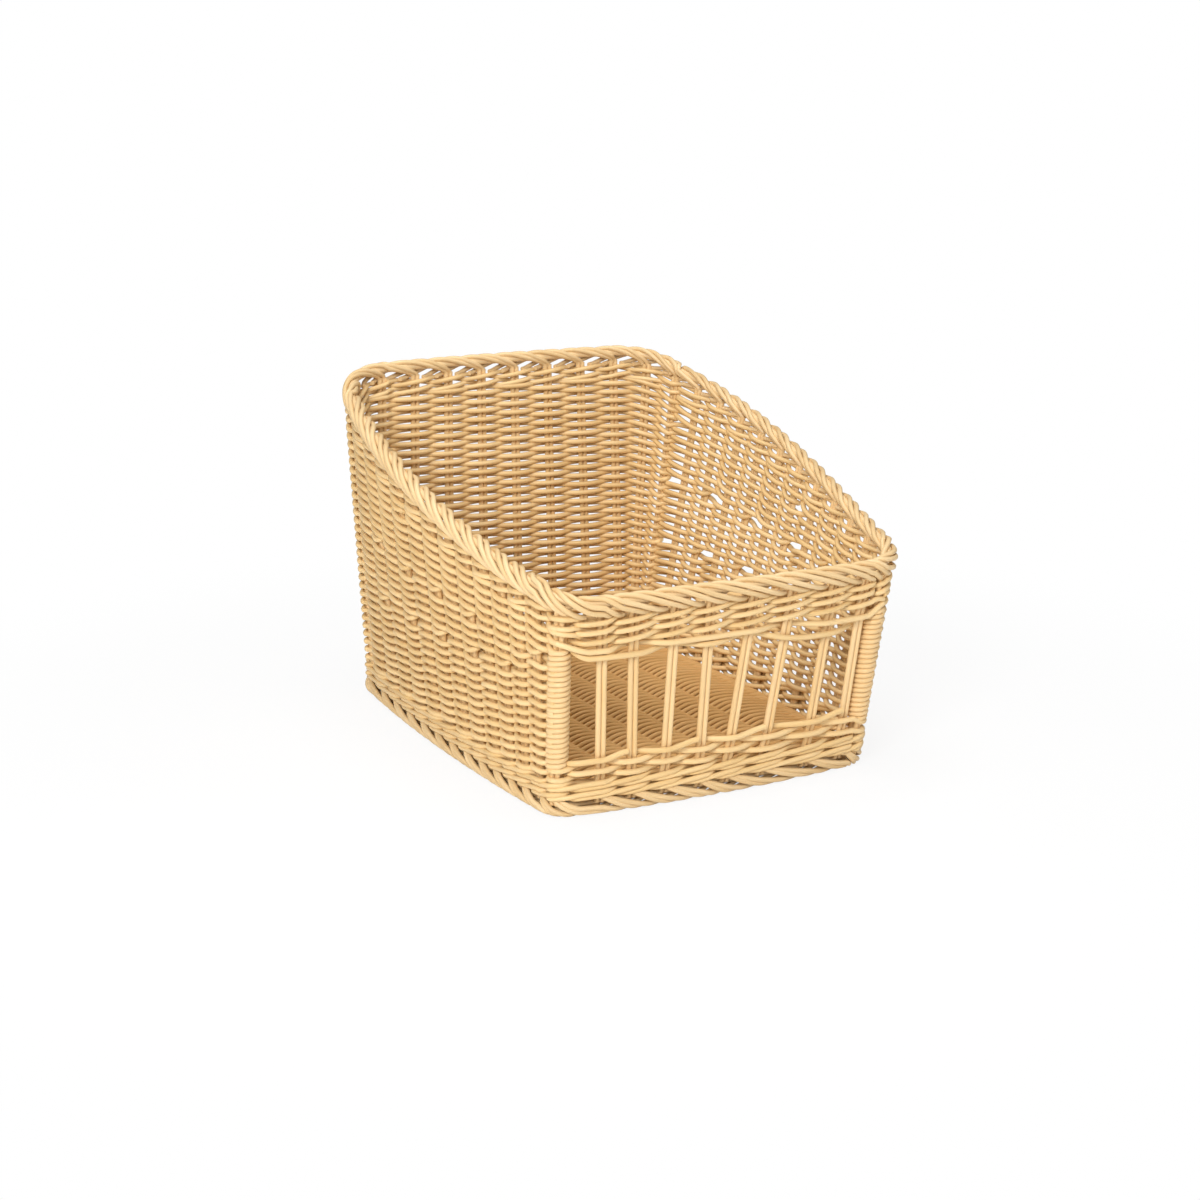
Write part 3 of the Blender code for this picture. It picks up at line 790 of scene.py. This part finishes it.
def strand_finish(name, pale, deep, roughness, sheen):
    """Satin plastic strand: its own tone, lengthwise streaks and faint drawn lines."""
    finished = bpy.data.materials.new(name)
    shader = Shader(finished)
    place = shader.node("ShaderNodeUVMap", {"uv_map": "strand"}, {})
    along = shader.node("ShaderNodeSeparateXYZ", {}, {0: place})
    around = along.output("Y")
    tone = shader.node("ShaderNodeAttribute", {"attribute_name": "tone"}, {}).output("Fac")

    def streaks(along_scale, around_scale, detail):
        place = shader.node("ShaderNodeCombineXYZ", {}, {
            0: along * along_scale, 1: around * around_scale, 2: tone * TONE_SPREAD})
        return shader.node(
            "ShaderNodeTexNoise", {"noise_dimensions": "3D"},
            {"Vector": place, "Scale": 1.0, "Detail": detail})

    broad = streaks(*BROAD_STREAKS)
    fine = streaks(*FINE_STREAKS)
    by_tone, by_broad, by_fine = DEEPENING
    depth = by_tone * tone + by_broad * broad + by_fine * fine - PALE_END
    mixed = shader.node(
        "ShaderNodeMix", {"data_type": "RGBA"}, {0: depth, 6: (*pale, 1.0), 7: (*deep, 1.0)})
    bump = shader.node("ShaderNodeBump", {}, {
        "Strength": BUMP_STRENGTH, "Distance": BUMP_HEIGHT,
        "Height": fine + BROAD_BUMP_SHARE * broad})
    shader.feed("Principled BSDF", "Base Color", mixed.output(2))
    shader.feed("Principled BSDF", "Roughness", roughness + ROUGHNESS_SPREAD * (broad - 0.5))
    shader.feed("Principled BSDF", "Normal", bump)
    shader.feed("Principled BSDF", "Specular IOR Level", sheen)
    return finished


def finish(kind):
    """The finish of one kind of strand, made when it is first asked for."""
    name = kind + "_finish"
    group, roughness, sheen = FINISHES[kind]
    colours = bpy.context.scene.basket_colours
    return bpy.data.materials.get(name) or strand_finish(
        name, getattr(colours, group + "_pale"), getattr(colours, group + "_deep"), roughness,
        sheen)


class BASKET_OT_wall_weave(bpy.types.Operator):
    """Weave the right, back and left walls, with the short rows that make the rim slope"""

    bl_idname = "basket.wall_weave"
    bl_label = "Weave Walls"

    def execute(self, context):
        sizes = context.scene.basket_sizes
        corners = [joint_near(corner) for corner in BACK_CORNERS]
        joints = [0.0] + corners + [float(LEFT_POST_NUMBER)]
        names = ("right_wall", "back_wall", "left_wall")
        for place, (name, start, end) in enumerate(zip(names, joints, joints[1:])):
            strands = Strands(WALL_SEED + place)
            for path in self.rows(sizes, start, end):
                strands.lay(path, sizes.weaver, STRAND_SIDES)
            strands.piece(name + "_strands", "woven_strand", name + "_weave")
        return {"FINISHED"}

    def rows(self, sizes, start, end):
        """Every row of weave between two upright numbers, short pairs with their turns."""
        reach = upright_reach(sizes)
        short = {row: stakes for row, *stakes in short_pairs()}
        paths = []
        row = FIRST_ROW
        while row < ROWS:
            offsets = reach * in_and_out(row)
            if row not in short:
                paths.append(row_path(row, start, end, offsets))
                row += 1
                continue
            right, left = short[row]
            first, last = max(start, right), min(end, left)
            lower = row_path(row, first, last, offsets)
            upper = row_path(row + 1, first, last, -offsets)
            if first > start:
                turn = self.turn_back(row, right, -1, offsets, sizes)
                paths.append(np.concatenate((lower[::-1][:-2], turn, upper[2:])))
            elif last < end:
                turn = self.turn_back(row, left, 1, offsets, sizes)
                paths.append(np.concatenate((lower[:-2], turn, upper[::-1][2:])))
            else:
                paths.extend((lower[::-1], upper))
            row += 2
        return paths

    def turn_back(self, row, stake, way, offsets, sizes):
        """The end of a short pair: round its stake and back in the row above."""
        angles = np.linspace(0, np.pi, TURN_POINTS)
        rise = (1 - np.cos(angles)) / 2
        heights = RIM.row(row, stake) * (1 - rise) + RIM.row(row + 1, stake) * rise
        reach = (sizes.pair_spread + sizes.rod + sizes.weaver) / 2
        return wall_place(
            stake, heights, offsets[stake] * np.cos(angles), way * reach * np.sin(angles))


def lower_band_height(row):
    """Rows under the window: closer at the posts, climbing a little to the right."""
    def height(numbers):
        climb = LOWER_BAND_CLIMB + LOWER_BAND_LEAN * (numbers - LEFT_POST_NUMBER) / (BARS + 1)
        share = 1 + climb * between_posts(numbers)
        return ABOVE_WALE + (RIM.row(row, numbers) - ABOVE_WALE) * share
    return height


def upper_band_height(left_row, right_row, left_drop, right_drop, lifts):
    """Rows over the window: they leave the side walls' top rows and sag over the bars."""
    def height(numbers):
        first, last = WIDENING_BARS
        share = smooth((numbers - LEFT_POST_NUMBER - first) / (last - first))
        band = RIM.rim(numbers) - left_drop - (right_drop - left_drop) * share
        band = band + weave_out(numbers, lifts)
        middle = (LEFT_POST_NUMBER + UPRIGHTS) / 2
        wall = np.where(
            numbers < middle, RIM.row(left_row, numbers), RIM.row(right_row, numbers))
        return wall + (band - wall) * between_posts(numbers)
    return height


class BASKET_OT_front_bands(bpy.types.Operator):
    """Weave the bands under and over the window"""

    bl_idname = "basket.front_bands"
    bl_label = "Weave Front Bands"

    def execute(self, context):
        sizes = context.scene.basket_sizes
        reach = upright_reach(sizes)
        lower = Strands(BAND_SEED)
        upper = Strands(BAND_SEED + 1)
        for row in range(FIRST_ROW, LOWER_BAND_ROWS - 1):
            path = woven_path(
                LEFT_POST_NUMBER, UPRIGHTS, lower_band_height(row), reach * in_and_out(row))
            lower.lay(path, sizes.weaver, STRAND_SIDES)
        self.lay_ends(lower, sizes)
        self.lay_upper_rows(upper, reach, sizes)
        self.lay_twined_row(upper, reach, sizes)
        lower.piece("lower_band_strands", "woven_strand", "front_lower_band")
        upper.piece("upper_band_strands", "woven_strand", "front_upper_band")
        return {"FINISHED"}

    def lay_ends(self, strands, sizes):
        """The top row: short strands from behind a bar that end before the next but one."""
        height = lower_band_height(LOWER_BAND_ROWS - 1)
        for bar in range(LEFT_POST_NUMBER + 1, UPRIGHTS, 2):
            start, end = bar - 1, bar + END_REACH
            numbers = steps_between(start, end, END_STEPS)
            out = -np.cos(np.pi * np.minimum(numbers - start, 1))
            rise = sizes.end_rise * smooth((numbers - bar) / (end - bar))
            path = wall_place(
                numbers, height(numbers) + rise, out * (sizes.rod + sizes.weaver) / 2)
            strands.lay(path, sizes.weaver, STRAND_SIDES)

    def lay_upper_rows(self, strands, reach, sizes):
        """Rows that go on from the side walls and pass inside a few bars."""
        rows = full_rows()[-len(UPPER_BAND) - 2:]
        posts = [0, LEFT_POST_NUMBER]
        for row, (left_drop, right_drop, inside_bars) in zip(rows, UPPER_BAND):
            outward = np.ones(UPRIGHTS)
            outward[[LEFT_POST_NUMBER + bar for bar in inside_bars]] = -1
            outward[posts] = in_and_out(row)[posts]
            height = upper_band_height(
                row, row, left_drop, right_drop, -sizes.band_sag * outward)
            path = woven_path(LEFT_POST_NUMBER, UPRIGHTS, height, reach * outward)
            strands.lay(path, sizes.weaver, STRAND_SIDES)

    def lay_twined_row(self, strands, reach, sizes):
        """Two strands twined round the bars, which go on as the side walls' top rows."""
        below, top = full_rows()[-2:]
        for lead, rows in ((0, (below, top)), (1, (top, below))):
            height = upper_band_height(*rows, TWINED_DROP, TWINED_DROP, np.zeros(UPRIGHTS))
            path = twined_path(
                LEFT_POST_NUMBER, UPRIGHTS, LEFT_POST_NUMBER + lead, height, PAIRING_SLANT,
                sizes.rim_lift, reach * in_and_out(lead))
            strands.lay(path, sizes.strand, STRAND_SIDES)


class BASKET_OT_wales(bpy.types.Operator):
    """Lay the wales above the foot border and under the rim border"""

    bl_idname = "basket.wales"
    bl_label = "Lay Wales"

    def execute(self, context):
        sizes = context.scene.basket_sizes
        reach = upright_reach(sizes)
        foot = Strands(WALE_SEED)
        rim = Strands(WALE_SEED + 1)
        for row in range(WALE_ROWS):
            self.lay_foot_row(foot, sizes.foot_wale + sizes.foot_pitch * row, reach, sizes)
            self.lay_rim_row(rim, sizes.rim_wale + sizes.rim_pitch * row, reach, sizes)
        foot.piece("foot_wale_strands", "woven_strand", "foot_wale")
        rim.piece("rim_wale_strands", "woven_strand", "rim_wale")
        return {"FINISHED"}

    def lay_foot_row(self, strands, level, reach, sizes):
        """Three strands, each outside two uprights, low then high, and inside the third."""
        for lead in range(WALE_RODS):
            phase = (np.arange(UPRIGHTS) - lead) % WALE_RODS
            path = twined_path(
                0, UPRIGHTS, lead, lambda numbers: np.full(len(numbers), level), WALE_SLANT,
                sizes.foot_lift, np.choose(phase, (-reach, reach, reach + sizes.foot_step)))
            strands.lay(path, sizes.strand, STRAND_SIDES)

    def lay_rim_row(self, strands, drop, reach, sizes):
        """One strand laid round twice, outside the uprights that it passed inside before."""
        def height(numbers):
            lowered = between_posts(np.mod(numbers, UPRIGHTS))
            return RIM.under(numbers, drop) - sizes.front_drop * lowered

        laps = 2 * UPRIGHTS
        path = twined_path(
            0, laps, 0, height, PAIRING_SLANT, sizes.rim_lift,
            np.tile(reach, 2) * in_and_out(0, laps))
        strands.lay(path, sizes.strand, STRAND_SIDES)


def rope_frame(number, height, step=0.05):
    """Middle, outward and upward directions of a border at upright numbers."""
    middle = wall_place(number, height(number))
    run = unit(wall_place(number + step, height(number + step))
               - wall_place(number - step, height(number - step)))
    side = unit(np.cross(run, UPWARD))
    return middle, side, np.cross(side, run)


def along_border(upright, side, run, sizes):
    """Upright numbers along a border of one rod of a pair: the pair drifts apart as it bends."""
    neighbours = wall_place((upright - 0.5, upright + 0.5), FRONT_HEIGHT)
    start = sizes.pair_spread / np.linalg.norm(neighbours[1] - neighbours[0])
    return upright + run + side / 2 * (start + (sizes.border_lead - start) * smooth(run))


def rim_border_strand(upright, side, sizes):
    """A rod's end bent over: up the inner face, over the ridge, and down the outer face."""
    run, out, rise = follow(RIM_ROUTE, ROUTE_STEPS).T
    numbers = along_border(upright, side, run, sizes)
    middle, outward, upward = rope_frame(numbers, RIM.rim)
    return middle + outward * out[:, None] + upward * rise[:, None]


def foot_border_strand(upright, side, sizes):
    """A rod's end bent under: out over the outer face, down, and back below the basket."""
    run, out, level = follow(FOOT_ROUTE, ROUTE_STEPS).T
    return wall_place(along_border(upright, side, run, sizes), level, out)


def rolled_border(seed, bent_strand, sizes):
    """A border's bent-over rods, two from each upright."""
    strands = Strands(seed)
    for upright in range(UPRIGHTS):
        for side in (-1, 1):
            path = bent_strand(upright, side, sizes)
            strands.lay(path, sizes.strand, BORDER_SIDES, BORDER_SIDEWAYS)
    return strands


class BASKET_OT_rim_border(bpy.types.Operator):
    """Roll the rim border from the bent-over ends of the uprights"""

    bl_idname = "basket.rim_border"
    bl_label = "Roll Rim Border"

    def execute(self, context):
        sizes = context.scene.basket_sizes
        strands = rolled_border(BORDER_SEED, rim_border_strand, sizes)
        numbers = steps_between(0, UPRIGHTS, CORE_STEPS)
        strands.lay(wall_place(numbers, RIM.rim(numbers)), sizes.rim_core, STRAND_SIDES)
        strands.piece("rim_border_strands", "border_strand", "rim_border")
        return {"FINISHED"}


class BASKET_OT_foot_border(bpy.types.Operator):
    """Roll the foot border that the basket stands on"""

    bl_idname = "basket.foot_border"
    bl_label = "Roll Foot Border"

    def execute(self, context):
        sizes = context.scene.basket_sizes
        strands = rolled_border(BORDER_SEED + 1, foot_border_strand, sizes)
        out, level = FOOT_CORE
        core = wall_place(steps_between(0, UPRIGHTS, CORE_STEPS), level, out)
        strands.lay(core, sizes.strand, STRAND_SIDES)
        strands.piece("foot_border_strands", "border_strand", "foot_border")
        return {"FINISHED"}


def rod_path(upright, slide, out=0.0):
    """A straight rod from the foot border up into the rim border."""
    top = RIM.under(np.array([float(upright)]), UNDER_BORDER)[0]
    heights = np.linspace(ABOVE_FOOT - ROD_TUCK, top, ROD_POINTS)
    heights = np.concatenate(((heights[0] - ROD_TUCK,), heights, (top + ROD_TUCK,)))
    return wall_place(upright, heights, out, slide)


class BASKET_OT_stakes(bpy.types.Operator):
    """Stand the pairs of rods that the walls are woven round"""

    bl_idname = "basket.stakes"
    bl_label = "Stand Stakes"

    def execute(self, context):
        sizes = context.scene.basket_sizes
        for stake in range(1, STAKES + 1):
            self.stand_pair(sizes, stake, f"stake_{stake:02d}_rods", f"wall_stake_{stake:02d}")
        for bar in range(1, BARS + 1):
            self.stand_pair(sizes, LEFT_POST_NUMBER + bar, f"bar_{bar}_rods", f"window_bar_{bar}")
        return {"FINISHED"}

    def stand_pair(self, sizes, upright, name, node):
        strands = Strands(PAIR_SEED + upright)
        for side in (-1, 1):
            path = rod_path(upright, side * sizes.pair_spread / 2)
            strands.lay(path, sizes.rod, ROD_SIDES, BACKWARD)
        strands.piece(name, "upright_strand", node)


class BASKET_OT_posts(bpy.types.Operator):
    """Stand the two window posts and wind their wrapping"""

    bl_idname = "basket.posts"
    bl_label = "Stand and Wrap Posts"

    def execute(self, context):
        sizes = context.scene.basket_sizes
        half = sizes.pair_spread / 2
        for side, upright in (("left_post", LEFT_POST_NUMBER), ("right_post", 0)):
            core = Strands(POST_SEED + upright)
            for slide, out in ((-half, -half), (half, -half), (half, half), (-half, half)):
                core.lay(rod_path(upright, slide, out), sizes.rod, ROD_SIDES, BACKWARD)
            core.piece(side + "_rods", "upright_strand", side + "_core")
            wrap = Strands(WRAP_SEED + upright)
            wrap.lay(self.wrap_path(upright, sizes), sizes.strand, BORDER_SIDES)
            wrap.piece(side + "_loops", "wrapping_strand", side + "_wrap")
        return {"FINISHED"}

    def wrap_path(self, upright, sizes):
        """Loops from the foot to the head of the window, the ends tucked in along the core."""
        first, last = -END_TURNS, sizes.wrap_turns + END_TURNS
        turns = np.linspace(first, last, (sizes.wrap_turns + 1) * WRAP_STEPS + 1)
        pitch = (sizes.wrap_head - sizes.wrap_foot) / sizes.wrap_turns
        tuck = smooth(np.minimum(turns - first, last - turns) / TUCK_TURNS)
        angles = 2 * np.pi * turns
        side, corner = sizes.wrap_side_reach, sizes.wrap_corner_reach
        reach = side + (corner - side) * np.sin(2 * angles) ** 2
        reach = reach * (TUCKED_SHARE + (1 - TUCKED_SHARE) * tuck)
        return wall_place(
            upright, sizes.wrap_foot + pitch * turns,
            reach * np.cos(angles), reach * np.sin(angles))


class BASKET_OT_floor(bpy.types.Operator):
    """Weave the floor round its sticks"""

    bl_idname = "basket.floor"
    bl_label = "Weave Floor"

    def execute(self, context):
        sizes = context.scene.basket_sizes
        strands = Strands(FLOOR_SEED)
        middle = ABOVE_FOOT + FLOOR_RISE
        edge = wall_place(RIM.numbers, middle, -FLOOR_INSET)[:, :2]
        sticks = sizes.first_stick + sizes.stick_spacing * np.arange(FLOOR_STICKS)
        front, back = edge[:, 1].min(), edge[:, 1].max()
        count = int((back - front) / sizes.strand)
        rows = (front + back) / 2 + (np.arange(count) - (count - 1) / 2) * sizes.strand
        for row, across in enumerate(rows):
            low, high = crossing(edge, across, 1)
            crossed = (sticks > low + STICK_CLEARANCE) & (sticks < high - STICK_CLEARANCE)
            lifts = sizes.strand * in_and_out(row, FLOOR_STICKS)[crossed]
            path = self.weaver_path(
                [low, *sticks[crossed], high], [0.0, *lifts, 0.0], across, middle)
            strands.lay(path, sizes.strand, STRAND_SIDES)
        for stick in sticks:
            low, high = crossing(edge, stick, 0)
            ends = np.array((low - ROD_TUCK, low, high, high + ROD_TUCK))
            for side in (-1, 1):
                place = stick + side * sizes.pair_spread / 2
                path = np.column_stack((np.full(4, place), ends, np.full(4, middle)))
                strands.lay(path, sizes.strand, ROD_SIDES)
        strands.piece("floor_strands", "floor_strand", "floor_weave")
        return {"FINISHED"}

    def weaver_path(self, places, lifts, across, middle):
        """A strand from wall to wall, over one pair of sticks and under the next."""
        share = np.arange(FLOOR_STEPS) / FLOOR_STEPS
        xs = [places[0] - ROD_TUCK]
        heights = [0.0]
        for left, right, low, high in zip(places, places[1:], lifts, lifts[1:]):
            xs.extend(left + (right - left) * share)
            heights.extend(low + (high - low) * smooth_bend(share))
        xs = np.array(xs + [places[-1], places[-1] + ROD_TUCK])
        heights = np.array(heights + [0.0, 0.0])
        return np.column_stack((xs, np.full(len(xs), across), middle + heights))


def crossing(edge, value, axis):
    """Lowest and highest place where a closed outline crosses a line along the other axis."""
    ahead = np.roll(edge, -1, axis=0)
    crosses = (edge[:, axis] - value) * (ahead[:, axis] - value) < 0
    first, last = edge[crosses], ahead[crosses]
    share = (value - first[:, axis]) / (last[:, axis] - first[:, axis])
    found = first[:, 1 - axis] + (last[:, 1 - axis] - first[:, 1 - axis]) * share
    return found.min(), found.max()


def view_direction(azimuth, elevation):
    """Direction from the basket to a camera turned round it and raised."""
    return Vector((
        math.sin(azimuth) * math.cos(elevation),
        -math.cos(azimuth) * math.cos(elevation),
        math.sin(elevation)))


class BASKET_OT_stage(bpy.types.Operator):
    """Set up the ground, the lamps and the camera"""

    bl_idname = "basket.stage"
    bl_label = "Set Up Stage"

    def execute(self, context):
        stage = context.scene.basket_stage
        self.make_ground(context, stage)
        self.make_world(context)
        for name, place, size, power in LAMPS:
            self.add_lamp(context, name, place, size, power)
        self.add_camera(context, stage)
        context.scene.view_settings.view_transform = "Standard"
        return {"FINISHED"}

    def add_camera(self, context, stage):
        data = bpy.data.cameras.new("camera")
        data.lens = stage.lens
        data.sensor_width = SENSOR_WIDTH
        camera = bpy.data.objects.new("camera", data)
        context.collection.objects.link(camera)
        away = view_direction(stage.azimuth, stage.elevation)
        camera.location = away * stage.distance + Vector((0.0, RIM.shift, 0.0))
        look = -view_direction(stage.azimuth, stage.elevation - stage.tilt)
        camera.rotation_euler = look.to_track_quat("-Z", "Y").to_euler()
        context.scene.camera = camera

    def make_ground(self, context, stage):
        bpy.ops.object.select_all(action="DESELECT")
        bpy.ops.mesh.primitive_plane_add(size=stage.ground_size, location=(0.0, 0.0, 0.0))
        ground = context.active_object
        ground.name = "ground"
        finished = bpy.data.materials.new("ground")
        self.finish_ground(Shader(finished), context.scene.basket_colours.ground)
        ground.data.materials.append(finished)

    def finish_ground(self, shader, pale):
        """Plain ground with a faint grain, which the camera sees white but for the shadow."""
        place = shader.node("ShaderNodeTexCoord", {}, {}).output("Object")
        grain = shader.node("ShaderNodeTexNoise", {}, {
            "Vector": place, "Scale": GRAIN_SCALE, "Detail": GRAIN_DETAIL})
        shader.feed("Principled BSDF", "Base Color", (*pale, 1.0))
        shader.feed(
            "Principled BSDF", "Roughness", GROUND_ROUGHNESS + GROUND_ROUGHNESS_SPREAD * grain)
        shader.feed("Principled BSDF", "Specular IOR Level", GROUND_SHEEN)
        distance = shader.node(
            "ShaderNodeVectorMath", {"operation": "LENGTH"}, {0: place}).output("Value")
        across = shader.node("ShaderNodeSeparateXYZ", {}, {0: place})
        beside = shader.node("ShaderNodeMath", {"operation": "MAXIMUM"}, {
            0: abs(across / BASE_HALF_WIDTH),
            1: abs((across.output("Y") - RIM.shift) / BASE_HALF_DEPTH)})
        white = shader.fade(distance, *GLOW_DISTANCES, *GLOW_SHARES)
        bare = shader.fade(beside, *BARE_SHARES)
        glow = shader.node("ShaderNodeEmission", {}, {"Color": WHITE, "Strength": 1.0})
        surface = Value(shader, shader.tree.nodes["Principled BSDF"].outputs[0])
        mixed = shader.node(
            "ShaderNodeMixShader", {}, {0: shader.seen() * white * bare, 1: surface, 2: glow})
        shader.feed("Material Output", "Surface", mixed)

    def make_world(self, context):
        """Soft light from all round, white where the camera sees it."""
        world = bpy.data.worlds.new("studio")
        context.scene.world = world
        shader = Shader(world)
        shader.feed("Background", "Color", WHITE)
        shader.feed(
            "Background", "Strength", WORLD_STRENGTH + (1 - WORLD_STRENGTH) * shader.seen())

    def add_lamp(self, context, name, place, size, power):
        data = bpy.data.lights.new(name, "AREA")
        data.size = size
        data.energy = power
        lamp = bpy.data.objects.new(name, data)
        context.collection.objects.link(lamp)
        lamp.location = place
        away = Vector(place) - Vector(LAMP_TARGET)
        lamp.rotation_euler = away.to_track_quat("Z", "Y").to_euler()


OPERATORS = (
    BASKET_OT_wall_weave,
    BASKET_OT_front_bands,
    BASKET_OT_wales,
    BASKET_OT_rim_border,
    BASKET_OT_foot_border,
    BASKET_OT_stakes,
    BASKET_OT_posts,
    BASKET_OT_floor,
    BASKET_OT_stage,
)


class BASKET_PT_panel(bpy.types.Panel):
    """Sizes, colours and steps of the basket"""

    bl_idname = "BASKET_PT_panel"
    bl_label = "Woven Basket"
    bl_space_type = "VIEW_3D"
    bl_region_type = "UI"
    bl_category = "Basket"

    def draw(self, context):
        for name, _ in GROUPS:
            group = getattr(context.scene, name)
            box = self.layout.box()
            for item in group.__annotations__:
                box.prop(group, item)
        for operator in OPERATORS:
            self.layout.operator(operator.bl_idname)


GROUPS = (
    ("basket_sizes", BasketSizes),
    ("basket_colours", BasketColours),
    ("basket_stage", StageSizes),
)


def register():
    for name, group in GROUPS:
        bpy.utils.register_class(group)
        setattr(bpy.types.Scene, name, PointerProperty(type=group))
    for item in OPERATORS + (BASKET_PT_panel,):
        bpy.utils.register_class(item)


def unregister():
    for item in (BASKET_PT_panel,) + OPERATORS[::-1]:
        bpy.utils.unregister_class(item)
    for name, group in GROUPS[::-1]:
        delattr(bpy.types.Scene, name)
        bpy.utils.unregister_class(group)


def main():
    register()
    bpy.ops.basket.wall_weave()
    bpy.ops.basket.front_bands()
    bpy.ops.basket.wales()
    bpy.ops.basket.rim_border()
    bpy.ops.basket.foot_border()
    bpy.ops.basket.stakes()
    bpy.ops.basket.posts()
    bpy.ops.basket.floor()
    bpy.ops.basket.stage()


if __name__ == "__main__":
    main()
